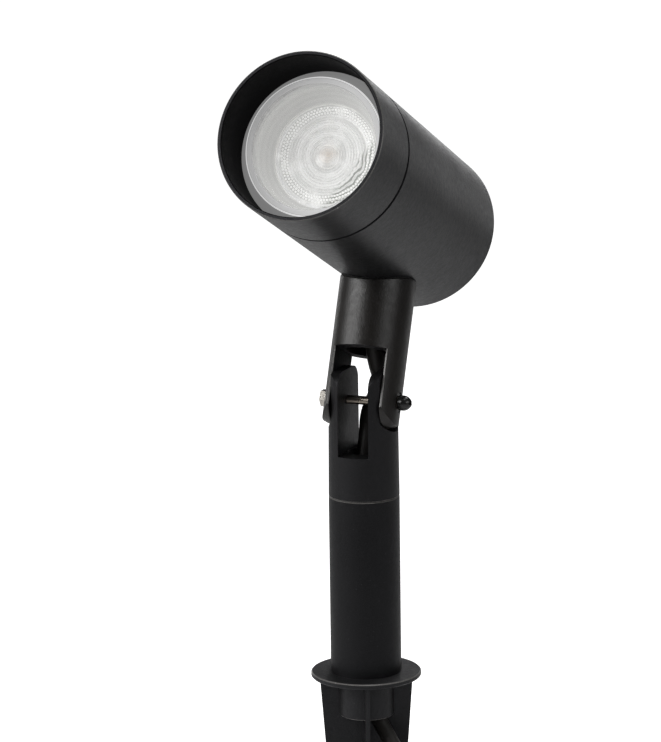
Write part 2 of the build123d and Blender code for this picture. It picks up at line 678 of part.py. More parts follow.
BLOCK_S = S_BACK + BACK_WALL + 2.0
WIRE_S = -32.5
with BuildPart() as terminal_block:
    with BuildSketch(head_plane(BLOCK_S)):
        with Locations((0, 7)):
            RectangleRounded(23.0, 17.0, 1.0)
    extrude(amount=13.0)
    for px in (-6.5, 6.5):
        with BuildSketch(Plane(origin=in_head(px, -3.0, WIRE_S), x_dir=(1, 0, 0), z_dir=N)):
            Circle(1.5)
        extrude(amount=20.0, mode=Mode.SUBTRACT)
    with BuildSketch(head_plane(WIRE_S)):
        with Locations((-6.5, 3), (-6.5, 11), (6.5, 3), (6.5, 11)):
            Circle(1.85)
    extrude(amount=10.0, mode=Mode.SUBTRACT)
    with BuildSketch(head_plane(BLOCK_S - 0.1)):
        with Locations((0, 7)):
            Circle(1.6)
    extrude(amount=16.0, mode=Mode.SUBTRACT)
terminal_block.part.label = "terminal_block"

with BuildPart() as terminal_screws:
    with BuildSketch(head_plane(WIRE_S + 1.6)):
        with Locations((-6.5, 3), (-6.5, 11), (6.5, 3), (6.5, 11)):
            Circle(1.75)
    extrude(amount=3.6)
    with BuildSketch(head_plane(WIRE_S + 4.2)):
        with Locations((-6.5, 3), (-6.5, 11), (6.5, 3), (6.5, 11)):
            Rectangle(4.0, 0.6)
    extrude(amount=1.2, mode=Mode.SUBTRACT)
terminal_screws.part.label = "terminal_screws"

with BuildPart() as terminal_fixing_screw:
    with BuildSketch(head_plane(-41.6)):
        with Locations((0, 7)):
            Circle(1.4)
    extrude(amount=BLOCK_S + 13.0 + 41.6)
    with BuildSketch(head_plane(BLOCK_S + 13.0)):
        with Locations((0, 7)):
            Circle(2.7)
    extrude(amount=1.9)
    with BuildSketch(head_plane(BLOCK_S + 14.0)):
        with Locations((0, 7)):
            Rectangle(3.0, 0.7)
            Rectangle(0.7, 3.0)
    extrude(amount=1.2, mode=Mode.SUBTRACT)
terminal_fixing_screw.part.label = "terminal_fixing_screw"

with BuildPart() as earth_terminal:
    with BuildSketch(head_plane(-34.0)):
        with Locations((20, -12)):
            Circle(4.2)
        with Locations((15.5, -12)):
            Rectangle(5.0, 3.0)
        with Locations((20, -12)):
            Circle(2.15, mode=Mode.SUBTRACT)
    extrude(amount=0.8)
    with BuildSketch(Plane(origin=in_head(14.8, -12, -32.5), x_dir=F, z_dir=(-1, 0, 0))):
        Circle(1.75)
    extrude(amount=5.5)
    with BuildSketch(Plane(origin=in_head(13.8, -12, -32.5), x_dir=F, z_dir=(-1, 0, 0))):
        Circle(1.15)
    extrude(amount=5.5, mode=Mode.SUBTRACT)
earth_terminal.part.label = "earth_terminal"

with BuildPart() as earth_screw:
    with BuildSketch(head_plane(-41.4)):
        with Locations((20, -12)):
            Circle(1.9)
    extrude(amount=8.2)
    with BuildSketch(head_plane(-33.2)):
        with Locations((20, -12)):
            Circle(3.7)
    extrude(amount=2.4)
    with BuildSketch(head_plane(-32.0)):
        with Locations((20, -12)):
            Rectangle(4.4, 0.8)
            Rectangle(0.8, 4.4)
    extrude(amount=1.4, mode=Mode.SUBTRACT)
earth_screw.part.label = "earth_screw"

WIRE_R = 1.05


def wire_plane(pts):
    d = (pts[1] - pts[0]).normalized()
    return Plane(origin=pts[0], x_dir=(1, 0, 0), z_dir=d)


lamp_wire_1 = [in_head(4.92, 0.87, 31.2), in_head(4.92, 0.87, 12), in_head(5.6, 19, -6),
               in_head(6.5, 24, -22), in_head(6.5, 22.5, -32.5), in_head(6.5, 12.0, WIRE_S)]
lamp_wire_2 = [in_head(-4.92, -0.87, 31.2), in_head(-4.92, -0.87, 12), in_head(-5.6, 19, -8),
               in_head(-6.5, 24, -22), in_head(-6.5, 22.5, -32.5), in_head(-6.5, 12.0, WIRE_S)]
with BuildPart() as lamp_wires:
    with BuildLine() as lw1:
        FilletPolyline(*lamp_wire_1, radius=corner_radii(lamp_wire_1, 12))
    with BuildSketch(wire_plane(lamp_wire_1)):
        Circle(WIRE_R)
    sweep(path=lw1.line)
    with BuildLine() as lw2:
        FilletPolyline(*lamp_wire_2, radius=corner_radii(lamp_wire_2, 12))
    with BuildSketch(wire_plane(lamp_wire_2)):
        Circle(WIRE_R)
    sweep(path=lw2.line)
lamp_wires.part.label = "lamp_wires"

JE = lead_head_pts[-1]
JD = (lead_head_pts[-1] - lead_head_pts[-2]).normalized()
core_live_pts = [JE + X * -1.9 + JD * 1.0, in_head(-4.2, -8.0, -15.5), in_head(-6.5, -9.5, -27),
                 in_head(-6.5, -7.5, -32.0), in_head(-6.5, 2.0, WIRE_S)]
core_neutral_pts = [JE + X * 1.9 + JD * 1.0, in_head(4.2, -8.0, -15.5), in_head(6.5, -9.5, -27),
                    in_head(6.5, -7.5, -32.0), in_head(6.5, 2.0, WIRE_S)]
core_earth_pts = [JE - (N + F).normalized() * 1.9 + JD * 1.0, in_head(0.8, -13.5, -17), in_head(2.6, -12.8, -27),
                  in_head(6.2, -12.0, -32.5), in_head(13.4, -12, -32.5)]
with BuildPart() as core_live:
    with BuildLine() as cl:
        FilletPolyline(*core_live_pts, radius=corner_radii(core_live_pts, 10))
    with BuildSketch(wire_plane(core_live_pts)):
        Circle(WIRE_R)
    sweep(path=cl.line)
core_live.part.label = "core_live"
with BuildPart() as core_neutral:
    with BuildLine() as cn:
        FilletPolyline(*core_neutral_pts, radius=corner_radii(core_neutral_pts, 10))
    with BuildSketch(wire_plane(core_neutral_pts)):
        Circle(WIRE_R)
    sweep(path=cn.line)
core_neutral.part.label = "core_neutral"
with BuildPart() as core_earth:
    with BuildLine() as ce:
        FilletPolyline(*core_earth_pts, radius=corner_radii(core_earth_pts, 10))
    with BuildSketch(wire_plane(core_earth_pts)):
        Circle(WIRE_R)
    sweep(path=ce.line)
core_earth.part.label = "core_earth"

# ================================================================ lamp body
LAMP_S = 86.5          # front edge of the lamp
LAMP_BASE_S = 39.6     # end of its base, where the pins start
with BuildPart() as lamp_shell:
    with BuildSketch(HEAD_SECTION):
        with BuildLine():
            Polyline((LAMP_S, 23.3), (LAMP_S, 24.7), (LAMP_S - 0.4, 25.0), (LAMP_S - 5.0, 25.0),
                     (LAMP_S - 9.0, 23.6), (LAMP_S - 26.0, 15.8), (LAMP_S - 33.0, 14.0), (LAMP_BASE_S + 2.0, 13.4),
                     (LAMP_BASE_S, 12.2), (LAMP_BASE_S, 0), (LAMP_BASE_S + 3.0, 0), (LAMP_BASE_S + 3.0, 10.5),
                     (LAMP_S - 33.5, 12.2), (LAMP_S - 26.0, 14.0), (LAMP_S - 9.0, 21.8), (LAMP_S - 4.6, 23.0),
                     (LAMP_S - 4.6, 21.6), (LAMP_S - 3.6, 21.6), (LAMP_S - 3.6, 23.3), close=True)
        make_face()
    revolve(axis=HEAD_AXIS)
    with BuildSketch(head_plane(LAMP_BASE_S - 0.1)):
        with Locations((5, 0), (-5, 0)):
            Circle(1.52)
    extrude(amount=4.0, mode=Mode.SUBTRACT)
lamp_shell.part.label = "lamp_shell"

with BuildPart() as lamp_lens:
    with BuildSketch(HEAD_SECTION):
        with BuildLine():
            Polyline((LAMP_S - 3.5, 0), (LAMP_S - 3.5, 23.2), (LAMP_S - 0.2, 23.2), (LAMP_S - 0.2, 22.4),
                     (LAMP_S - 1.0, 21.6), (LAMP_S - 1.0, 0), close=True)
        make_face()
    revolve(axis=HEAD_AXIS)
lamp_lens.part.label = "lamp_lens"

with BuildPart() as lamp_led:
    with BuildSketch(head_plane(LAMP_S - 6.6)):
        Circle(20.5)
    extrude(amount=1.6)
    with BuildSketch(head_plane(LAMP_S - 5.1)):
        RectangleRounded(9, 9, 1)
    extrude(amount=1.0)
lamp_led.part.label = "lamp_led"

with BuildPart() as lamp_pins:
    with BuildSketch(head_plane(35.4)):
        with Locations((5, 0), (-5, 0)):
            Circle(1.5)
    extrude(amount=LAMP_BASE_S + 2.8 - 35.4)
    with BuildSketch(head_plane(32.5)):
        with Locations((5, 0), (-5, 0)):
            Circle(2.4)
    extrude(amount=3.0)
lamp_pins.part.label = "lamp_pins"

# ================================================================ hood bodies
with BuildPart() as hood_oring:
    with BuildSketch(HEAD_SECTION):
        with Locations((S_SEAM, 35.62)):
            Circle(0.56)
    revolve(axis=HEAD_AXIS)
hood_oring.part.label = "hood_oring"

S_HOOD = S_SEAM + SEAM_W / 2
with BuildPart() as hood:
    with BuildSketch(HEAD_SECTION):
        with BuildLine():
            Polyline((S_FRONT - 0.4, HEAD_R), (S_HOOD + 0.4, HEAD_R), (S_HOOD, HEAD_R - 0.4), (S_HOOD, SPIGOT_R),
                     (S_HOOD - SPIGOT_LEN + 0.6, SPIGOT_R), (S_HOOD - SPIGOT_LEN, SPIGOT_R - 0.6),
                     (S_HOOD - SPIGOT_LEN, 32.3), (LEDGE_S - 3.2, 32.3), (LEDGE_S - 3.2, LEDGE_R_IN),
                     (LEDGE_S, LEDGE_R_IN), (LEDGE_S, HOOD_R_IN), (S_FRONT - 0.5, HOOD_R_IN),
                     (S_FRONT, HOOD_R_IN + 0.4), (S_FRONT, HEAD_R - 0.4), close=True)
        make_face()
    revolve(axis=HEAD_AXIS)
hood.part.label = "hood"

with BuildPart() as glass_gasket:
    with BuildSketch(head_plane(LEDGE_S)):
        Circle(HOOD_R_IN - 0.1)
        Circle(LEDGE_R_IN + 0.3, mode=Mode.SUBTRACT)
    extrude(amount=0.8)
glass_gasket.part.label = "glass_gasket"

GLASS_S = LEDGE_S + 0.8
with BuildPart() as glass:
    with BuildSketch(HEAD_SECTION):
        with BuildLine():
            Polyline((GLASS_S, 31.3), (GLASS_S, 35.3), (GLASS_S + 2.7, 35.3), (GLASS_S + 2.9, 35.1),
                     (GLASS_S + 8.9, 31.3), (GLASS_S + 9.3, 31.0), (GLASS_S + 9.5, 30.5), (GLASS_S + 9.5, 0),
                     (GLASS_S + 6.1, 0), (GLASS_S + 6.1, 27.6), (GLASS_S + 5.7, 28.1), close=True)
        make_face()
    revolve(axis=HEAD_AXIS)
glass.part.label = "glass"

with BuildPart() as baffle_ring:
    with BuildSketch(HEAD_SECTION):
        with BuildLine():
            Polyline((LEDGE_S + 0.2, 30.4), (LEDGE_S - 3.3, 30.4), (LEDGE_S - 3.3, 32.15), (LEDGE_S - 4.3, 32.15),
                     (LEDGE_S - 4.3, 27.0), (LAMP_S + 0.5, 24.9), (LAMP_S + 0.5, 23.5), (LAMP_S + 1.2, 23.5),
                     (LEDGE_S + 0.2, 29.5), close=True)
        make_face()
    revolve(axis=HEAD_AXIS)
baffle_ring.part.label = "baffle_ring"

# ---------------------------------------------------------------- write every piece
pieces = [spike, ground_nipple, stem_insert, stem_tube, stem_grub_screw, cable_grommet, lead_stem,
          supply_cord, supply_coil, coil_tie, cord_tail, plug_body, plug_pins, plug_earth_clips,
          knuckle_base, swivel_ring, clamp_bolt, clamp_nut, friction_washers, lead_knuckle,
          neck, saddle_gasket, head_nipple, head_washer, head_locknut, lead_head, housing,
          bracket, bracket_screws, lampholder, holder_screws, holder_contacts, terminal_block,
          terminal_screws, terminal_fixing_screw, earth_terminal, earth_screw, lamp_wires,
          core_live, core_neutral, core_earth, lamp_shell, lamp_lens, lamp_led, lamp_pins,
          hood_oring, hood, glass_gasket, glass, baffle_ring]
for piece in pieces:
    export_step(piece.part, "parts/" + piece.part.label + ".step")
print("pieces", len(pieces))
for nm, line in (("lead_stem", lead_stem_line), ("lead_knuckle", lead_knuckle_line), ("lead_head", lead_head_line)):
    print(nm, "length", round(path_length(line), 1))
print("coil centre", tuple(round(v, 2) for v in COIL_C), "tail", tuple(round(v, 2) for v in on_cord(COIL_U, TAIL_W, TAIL_Z)),
      "plug start", tuple(round(v, 2) for v in on_cord(PLUG_U, TAIL_W, TAIL_Z)))
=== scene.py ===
import bpy
import bmesh
import math
import random
from mathutils import Vector, Matrix


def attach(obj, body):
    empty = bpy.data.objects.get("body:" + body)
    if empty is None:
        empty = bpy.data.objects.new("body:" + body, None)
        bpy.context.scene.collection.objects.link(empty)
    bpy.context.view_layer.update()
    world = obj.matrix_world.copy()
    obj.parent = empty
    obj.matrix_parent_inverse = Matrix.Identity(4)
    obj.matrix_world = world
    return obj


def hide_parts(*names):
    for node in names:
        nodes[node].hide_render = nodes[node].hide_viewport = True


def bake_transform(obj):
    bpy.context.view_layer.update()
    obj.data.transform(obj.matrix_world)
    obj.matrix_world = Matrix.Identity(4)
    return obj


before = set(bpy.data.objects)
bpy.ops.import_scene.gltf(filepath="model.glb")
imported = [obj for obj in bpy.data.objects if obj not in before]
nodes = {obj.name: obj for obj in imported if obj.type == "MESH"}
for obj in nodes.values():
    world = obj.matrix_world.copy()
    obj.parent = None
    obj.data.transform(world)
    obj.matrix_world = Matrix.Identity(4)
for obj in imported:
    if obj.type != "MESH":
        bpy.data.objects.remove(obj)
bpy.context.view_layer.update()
rnd = random.Random(7)

# ------------------------------------------------------------------ frames
T = math.radians(23.5)
N = Vector((0, math.sin(T), math.cos(T)))
F = Vector((0, -math.cos(T), math.sin(T)))
X = Vector((1, 0, 0))
P = Vector((0, 0, 0.1276))
H = P + N * 0.0901


def in_head(x, n, s):
    return H + X * x + N * n + F * s


# ------------------------------------------------------------------ node helpers
class Mat:
    def __init__(self, name, color, rough, metallic=0.0, ior=1.5, spec=0.5):
        self.m = bpy.data.materials.new(name)
        self.m.use_nodes = True
        self.t = self.m.node_tree
        self.t.nodes.clear()
        self.out = self.t.nodes.new("ShaderNodeOutputMaterial")
        self.b = self.t.nodes.new("ShaderNodeBsdfPrincipled")
        self.t.links.new(self.b.outputs[0], self.out.inputs[0])
        self.b.inputs["Base Color"].default_value = (*color, 1)
        self.b.inputs["Roughness"].default_value = rough
        self.b.inputs["Metallic"].default_value = metallic
        self.b.inputs["IOR"].default_value = ior
        self.b.inputs["Specular IOR Level"].default_value = spec
        self.color = color
        self.rough = rough
        self.m.diffuse_color = (*color, 1)
        self._obj = None
        self._normal = None

    def new(self, kind, **props):
        n = self.t.nodes.new(kind)
        for k, v in props.items():
            setattr(n, k, v)
        return n

    def link(self, a, b):
        self.t.links.new(a, b)

    def coords(self):
        if self._obj is None:
            self._obj = self.new("ShaderNodeTexCoord").outputs["Object"]
        return self._obj

    def math(self, op, a, b=None, c=None):
        n = self.new("ShaderNodeMath", operation=op)
        for i, v in enumerate((a, b, c)):
            if v is None:
                continue
            if isinstance(v, (int, float)):
                n.inputs[i].default_value = v
            else:
                self.link(v, n.inputs[i])
        return n.outputs[0]

    def dot(self, vec, direction, origin=(0, 0, 0)):
        s = self.new("ShaderNodeVectorMath", operation="SUBTRACT")
        self.link(vec, s.inputs[0])
        s.inputs[1].default_value = origin
        d = self.new("ShaderNodeVectorMath", operation="DOT_PRODUCT")
        self.link(s.outputs[0], d.inputs[0])
        d.inputs[1].default_value = direction
        return d.outputs["Value"]

    def noise(self, scale, detail=2.0, rough=0.5, stretch=None):
        n = self.new("ShaderNodeTexNoise")
        n.inputs["Scale"].default_value = scale
        n.inputs["Detail"].default_value = detail
        n.inputs["Roughness"].default_value = rough
        v = self.coords()
        if stretch:
            m = self.new("ShaderNodeVectorMath", operation="MULTIPLY")
            self.link(v, m.inputs[0])
            m.inputs[1].default_value = stretch
            v = m.outputs[0]
        self.link(v, n.inputs["Vector"])
        return n.outputs["Fac"]

    def voronoi(self, scale, feature="F1"):
        n = self.new("ShaderNodeTexVoronoi", feature=feature)
        n.inputs["Scale"].default_value = scale
        self.link(self.coords(), n.inputs["Vector"])
        return n.outputs["Distance"]

    def ramp(self, value, stops, smooth=False):
        r = self.new("ShaderNodeValToRGB")
        if smooth:
            r.color_ramp.interpolation = "EASE"
        e = r.color_ramp.elements
        while len(e) > 1:
            e.remove(e[0])
        first = True
        for pos, col in stops:
            if not isinstance(col, (tuple, list)):
                col = (col, col, col)
            if first:
                e[0].position = pos
                e[0].color = (*col, 1)
                first = False
            else:
                k = e.new(pos)
                k.color = (*col, 1)
        self.link(value, r.inputs[0])
        return r.outputs[0]

    def map(self, value, a, b, c, d, kind="LINEAR"):
        n = self.new("ShaderNodeMapRange", interpolation_type=kind)
        self.link(value, n.inputs[0])
        for i, v in enumerate((a, b, c, d)):
            n.inputs[i + 1].default_value = v
        return n.outputs[0]

    def mix(self, fac, a, b):
        n = self.new("ShaderNodeMix", data_type="RGBA")
        if isinstance(fac, (int, float)):
            n.inputs[0].default_value = fac
        else:
            self.link(fac, n.inputs[0])
        for i, v in ((6, a), (7, b)):
            if isinstance(v, (tuple, list)):
                n.inputs[i].default_value = (*v[:3], 1)
            else:
                self.link(v, n.inputs[i])
        return n.outputs[2]

    def base(self, sock):
        self.link(sock, self.b.inputs["Base Color"])
        return self

    def roughness(self, sock):
        self.link(sock, self.b.inputs["Roughness"])
        return self

    def bump(self, height, distance, strength=1.0):
        n = self.new("ShaderNodeBump")
        n.inputs["Strength"].default_value = strength
        n.inputs["Distance"].default_value = distance
        self.link(height, n.inputs["Height"])
        if self._normal is not None:
            self.link(self._normal, n.inputs["Normal"])
        self._normal = n.outputs[0]
        self.link(self._normal, self.b.inputs["Normal"])
        return self


def powder(name, color, rough, grain=0.00042, depth=0.000018, warm=0.0, low=1.0, spec=0.5):
    """Powder coat: fine orange peel, sparse specks, slow drift of colour and gloss."""
    m = Mat(name, color, rough, spec=spec)
    drift = m.noise(22.0, 3.0, 0.55)
    fine = m.noise(1.0 / grain, 3.0, 0.6)
    peel = m.noise(1.0 / (grain * 4.0), 1.5, 0.5)
    speck = m.voronoi(1.0 / (grain * 9.0))
    c2 = tuple(v * 1.5 + warm * w for v, w in zip(color, (0.003, 0.0015, 0.0)))
    c1 = tuple(v * 0.8 for v in color)
    tone = m.mix(m.map(drift, 0.3, 0.7, 0.0, 1.0), c1, c2)
    dots = m.map(speck, 0.04, 0.10, 1.0, 0.0)
    tone = m.mix(m.map(fine, 0.42, 0.68, 0.0, 0.7), tone, tuple(v * 2.6 for v in color))
    m.base(m.mix(m.math("MULTIPLY", dots, 0.7), tone, tuple(v * 4.5 for v in color)))
    wave = m.math("ADD", m.math("MULTIPLY", drift, 0.14), m.math("MULTIPLY", fine, 0.20))
    wave = m.math("ADD", wave, m.math("MULTIPLY", peel, 0.16))
    m.roughness(m.math("ADD", wave, rough - 0.25))
    m.bump(fine, depth * 3.2, 0.9 * low)
    m.bump(peel, depth * 5.0, 0.6 * low)
    return m


def steel(name, color, rough, axis=None, origin=(0, 0, 0), pitch=0.00012, depth=0.000006):
    """Bare or plated steel with turning marks across an axis and small stains."""
    m = Mat(name, color, rough, metallic=1.0)
    stain = m.noise(260.0, 4.0, 0.6)
    grain = m.noise(2600.0, 2.0, 0.6)
    m.base(m.mix(m.map(stain, 0.35, 0.75, 0.0, 1.0), color, tuple(v * 0.62 for v in color)))
    m.roughness(m.math("ADD", m.math("MULTIPLY", stain, 0.22), rough - 0.10))
    if axis is not None:
        d = m.dot(m.coords(), axis, origin)
        w = m.math("SINE", m.math("MULTIPLY", d, 2 * math.pi / pitch))
        m.bump(w, depth, 0.7)
    m.bump(grain, depth * 0.8, 0.5)
    return m


def rubber(name, color, rough=0.62, grain=0.0004, depth=0.00002):
    m = Mat(name, color, rough)
    a = m.noise(1.0 / grain, 2.0, 0.6)
    b = m.noise(40.0, 3.0, 0.5)
    m.base(m.mix(m.map(b, 0.3, 0.75, 0.0, 1.0), tuple(v * 0.8 for v in color), tuple(v * 1.5 for v in color)))
    m.roughness(m.math("ADD", m.math("MULTIPLY", b, 0.2), rough - 0.1))
    m.bump(a, depth, 0.7)
    return m


def plastic(name, color, rough=0.45, ior=1.49, stain=0.12, grain=0.0005, depth=0.000012):
    m = Mat(name, color, rough, ior=ior)
    b = m.noise(60.0, 3.0, 0.55)
    a = m.noise(1.0 / grain, 2.0, 0.6)
    m.base(m.mix(m.map(b, 0.3, 0.75, 0.0, 1.0), color, tuple(v * (1 - stain) for v in color)))
    m.roughness(m.math("ADD", m.math("MULTIPLY", a, 0.16), rough - 0.08))
    m.bump(a, depth, 0.6)
    return m


def put(node, *mats):
    o = nodes[node] if isinstance(node, str) else node
    o.data.materials.clear()
    for m in mats:
        o.data.materials.append(m.m)
    return o


# ------------------------------------------------------------------ materials
head_coat = powder("coat_head", (0.0052, 0.0052, 0.0056), 0.39, grain=0.00055, spec=0.285)
neck_coat = powder("coat_knuckle", (0.0070, 0.0064, 0.0060), 0.39, grain=0.0006, depth=0.000026, warm=1.0, spec=0.53)
stem_coat = powder("coat_stem", (0.0058, 0.0058, 0.0062), 0.46, depth=0.000012, spec=0.26)
spike_coat = powder("coat_spike", (0.0066, 0.0066, 0.0068), 0.45, grain=0.0006, depth=0.00003, spec=0.4)
zinc = steel("zinc_plate", (0.58, 0.57, 0.53), 0.38)
alu = steel("turned_aluminium", (0.72, 0.72, 0.73), 0.36, axis=(0, 0, 1), pitch=0.0002)
bolt_shaft = steel("bolt_shaft", (0.52, 0.46, 0.39), 0.30, axis=(1, 0, 0), pitch=0.0007, depth=0.00003)
nut_steel = steel("nut_steel", (0.62, 0.59, 0.54), 0.26, axis=(1, 0, 0), pitch=0.0003)
screw_black = powder("black_screw", (0.010, 0.010, 0.010), 0.20, grain=0.0003, depth=0.000008)
seal = rubber("seal_rubber", (0.0022, 0.0022, 0.0022), 0.85)
sheath = rubber("cord_sheath", (0.021, 0.019, 0.0172), 0.46, grain=0.0006, depth=0.00002)
grommet = rubber("grommet_rubber", (0.012, 0.011, 0.011), 0.6)
plug_rubber = rubber("plug_rubber", (0.017, 0.017, 0.017), 0.55, grain=0.0007, depth=0.00005)
nylon = plastic("black_nylon", (0.014, 0.014, 0.014), 0.5)
silicone_painted_glow = rubber("gasket_silicone", (0.40, 0.40, 0.39), 0.55)
# Painted light: the grey silicone gasket glows a little, lifting its shade.
silicone_painted_glow.b.inputs["Emission Color"].default_value = (1, 1, 0.98, 1)
silicone_painted_glow.b.inputs["Emission Strength"].default_value = 0.22
ceramic = plastic("holder_ceramic", (0.74, 0.72, 0.66), 0.3, ior=1.6, grain=0.0009)
brass = steel("contact_brass", (0.66, 0.50, 0.24), 0.34)
nickel = steel("plug_nickel", (0.70, 0.67, 0.61), 0.22, axis=(-0.916363, 0.400349, 0), pitch=0.0004, depth=0.000004)
polyamide = plastic("terminal_polyamide", (0.72, 0.70, 0.62), 0.4)
sleeve = rubber("silicone_sleeve", (0.62, 0.60, 0.55), 0.5)
brown = rubber("core_brown", (0.12, 0.045, 0.016), 0.45)
blue = rubber("core_blue", (0.02, 0.08, 0.32), 0.45)
lamp_white_painted_glow = plastic("lamp_body_painted_glow", (0.72, 0.72, 0.70), 0.32)
# Painted light: the white lamp body glows a little, lifting the shade in the gap round the lens.
lamp_white_painted_glow.b.inputs["Emission Color"].default_value = (1, 1, 0.98, 1)
lamp_white_painted_glow.b.inputs["Emission Strength"].default_value = 0.22
phosphor = plastic("lamp_phosphor", (0.80, 0.52, 0.12), 0.5)

earth = rubber("core_earth", (0.05, 0.22, 0.03), 0.45)
ang = earth.dot(earth.coords(), (1, 0, 0), tuple(in_head(0.008, 0, 0)))
stripe = earth.math("GREATER_THAN", earth.math("SINE", earth.math("MULTIPLY", ang, 1900.0)), 0.35)
earth.base(earth.mix(stripe, (0.05, 0.22, 0.03), (0.62, 0.55, 0.04)))

# hook-and-loop strap: rows of tiny hooks
strap = Mat("tie_strap", (0.012, 0.012, 0.013), 0.85)
hooks = strap.voronoi(1500.0)
strap.base(strap.mix(strap.map(hooks, 0.0, 0.6, 0.0, 1.0), (0.03, 0.03, 0.032), (0.006, 0.006, 0.007)))
strap.bump(hooks, 0.00025, 0.9)

# ------------------------------------------------------------------ camera
cam_data = bpy.data.cameras.new("camera")
cam = bpy.data.objects.new("camera", cam_data)
bpy.context.scene.collection.objects.link(cam)
PSI, PAN, PITCH, ROLL = 0.3544, -0.0016, 0.2109, -0.0132
fw = Vector((math.sin(PAN) * math.cos(PITCH), math.cos(PAN) * math.cos(PITCH), -math.sin(PITCH)))
rt = Vector((math.cos(PAN), -math.sin(PAN), 0))
up = rt.cross(fw)
rt2 = math.cos(ROLL) * rt + math.sin(ROLL) * up
up2 = -math.sin(ROLL) * rt + math.cos(ROLL) * up
turn = Matrix.Rotation(PSI, 3, "Z")
eye = turn @ Vector((-0.0116436, -1.7387243, 0.5110659)) + Vector((0, 0, 0.0024))
rt2, up2, fw = turn @ rt2, turn @ up2, turn @ fw
m = Matrix((rt2, up2, -fw)).transposed().to_4x4()
m.translation = eye
cam.matrix_world = m
cam_data.lens = 36 * 3976.7461 / 661
cam_data.sensor_width = 36
cam_data.sensor_fit = "HORIZONTAL"
cam_data.clip_start = 0.05
cam_data.clip_end = 60
cam_data.dof.use_dof = False
bpy.context.scene.camera = cam

RIGHT = Vector((rt2.x, rt2.y, 0)).normalized()
AHEAD = Vector((fw.x, fw.y, 0)).normalized()
UP = Vector((0, 0, 1))


def seen(r, a, z):
    """A point r to the right of the object, a behind it and z up, as the camera sees it."""
    return RIGHT * r + AHEAD * a + UP * z


# ------------------------------------------------------------------ floor and light
FLOOR = -0.215
fm = bpy.data.meshes.new("floor")
fm.from_pydata([(-9, -9, FLOOR), (9, -9, FLOOR), (9, 9, FLOOR), (-9, 9, FLOOR)], [], [(0, 1, 2, 3)])
floor = bpy.data.objects.new("floor", fm)
bpy.context.scene.collection.objects.link(floor)
floor_m = Mat("floor_white", (0.72, 0.72, 0.72), 0.9)
floor_m.b.inputs["Emission Color"].default_value = (1, 1, 1, 1)
floor_m.b.inputs["Emission Strength"].default_value = 0.04
glow = floor_m.new("ShaderNodeEmission")
glow.inputs[0].default_value = (1, 1, 1, 1)
glow.inputs[1].default_value = 1.0
seen_ray = floor_m.new("ShaderNodeLightPath")
lift = floor_m.new("ShaderNodeAddShader")
pick = floor_m.new("ShaderNodeMixShader")
floor_m.link(floor_m.b.outputs[0], lift.inputs[0])
floor_m.link(glow.outputs[0], lift.inputs[1])
floor_m.link(seen_ray.outputs["Is Camera Ray"], pick.inputs[0])
floor_m.link(floor_m.b.outputs[0], pick.inputs[1])
floor_m.link(lift.outputs[0], pick.inputs[2])
floor_m.link(pick.outputs[0], floor_m.out.inputs[0])
fm.materials.append(floor_m.m)


def area(name, at, to, w, h, power, color=(1, 1, 1), spread=180):
    d = bpy.data.lights.new(name, "AREA")
    d.shape = "RECTANGLE"
    d.size, d.size_y = w, h
    d.energy = power
    d.color = color
    d.spread = math.radians(spread)
    o = bpy.data.objects.new(name, d)
    bpy.context.scene.collection.objects.link(o)
    o.location = at
    o.rotation_euler = (Vector(to) - Vector(at)).to_track_quat("-Z", "Y").to_euler()
    o.visible_camera = False
    return o


target = Vector((0, 0, 0.16))


def at_angle(az, el, dist):
    """Light position: az to the right of the camera's direction, el above level, both in degrees."""
    a, e = math.radians(az), math.radians(el)
    return target + seen(math.sin(a) * math.cos(e) * dist, -math.cos(a) * math.cos(e) * dist, math.sin(e) * dist)


area("top_back_soft", seen(0.25, 0.55, 1.15), target, 0.9, 0.6, 9.5)
area("top_front_soft", at_angle(0, 72, 1.3), target, 0.8, 0.4, 3.5)
area("left_soft", at_angle(-70, 26, 1.5), target, 1.2, 0.6, 14)
area("right_soft", at_angle(50, 22, 1.5), target, 1.0, 0.5, 3.35)
area("sweep_right", at_angle(146, -3, 1.9), target, 1.0, 0.5, 1.0)
area("sweep_back", at_angle(170, 0, 1.9), target, 0.45, 0.5, 1.6)
area("sweep_left", at_angle(-152, 0, 1.9), target, 0.8, 0.5, 1.4)

world = bpy.data.worlds.new("world")
bpy.context.scene.world = world
world.use_nodes = True
wt = world.node_tree
seen_bg = wt.nodes["Background"]
seen_bg.inputs[0].default_value = (1, 1, 1, 1)
seen_bg.inputs[1].default_value = 1.0
dim = wt.nodes.new("ShaderNodeBackground")
dim.inputs[0].default_value = (1, 1, 1, 1)
dim.inputs[1].default_value = 0.05
path = wt.nodes.new("ShaderNodeLightPath")
both = wt.nodes.new("ShaderNodeMixShader")
wt.links.new(path.outputs["Is Camera Ray"], both.inputs[0])
wt.links.new(dim.outputs[0], both.inputs[1])
wt.links.new(seen_bg.outputs[0], both.inputs[2])
wt.links.new(both.outputs[0], wt.nodes["World Output"].inputs[0])
try:
    bpy.context.scene.view_settings.view_transform = "Standard"
except TypeError:
    pass

# ------------------------------------------------------------------ CAD nodes keep their shape
# Painted highlight: a pale coat on chamfers and rims, in place of the light lines these edges catch.
painted_highlight_edge_coat = powder("coat_painted_highlight_edge", (0.085, 0.082, 0.079), 0.34, grain=0.0005, depth=0.00001)
# Painted highlight: an even paler coat for the slot bevels of the neck.
painted_highlight_bevel_coat = powder("coat_painted_highlight_bevel", (0.15, 0.147, 0.143), 0.36, grain=0.0005, depth=0.00001)
fork_coat = powder("coat_fork", (0.0056, 0.0055, 0.0057), 0.44, spec=0.36)
# Painted shade: a darker, duller coat for the slot ceiling, the slot walls and the head seams, where shade falls.
painted_shade_coat = powder("coat_painted_shade", (0.0030, 0.0026, 0.0034), 0.7, spec=0.15)


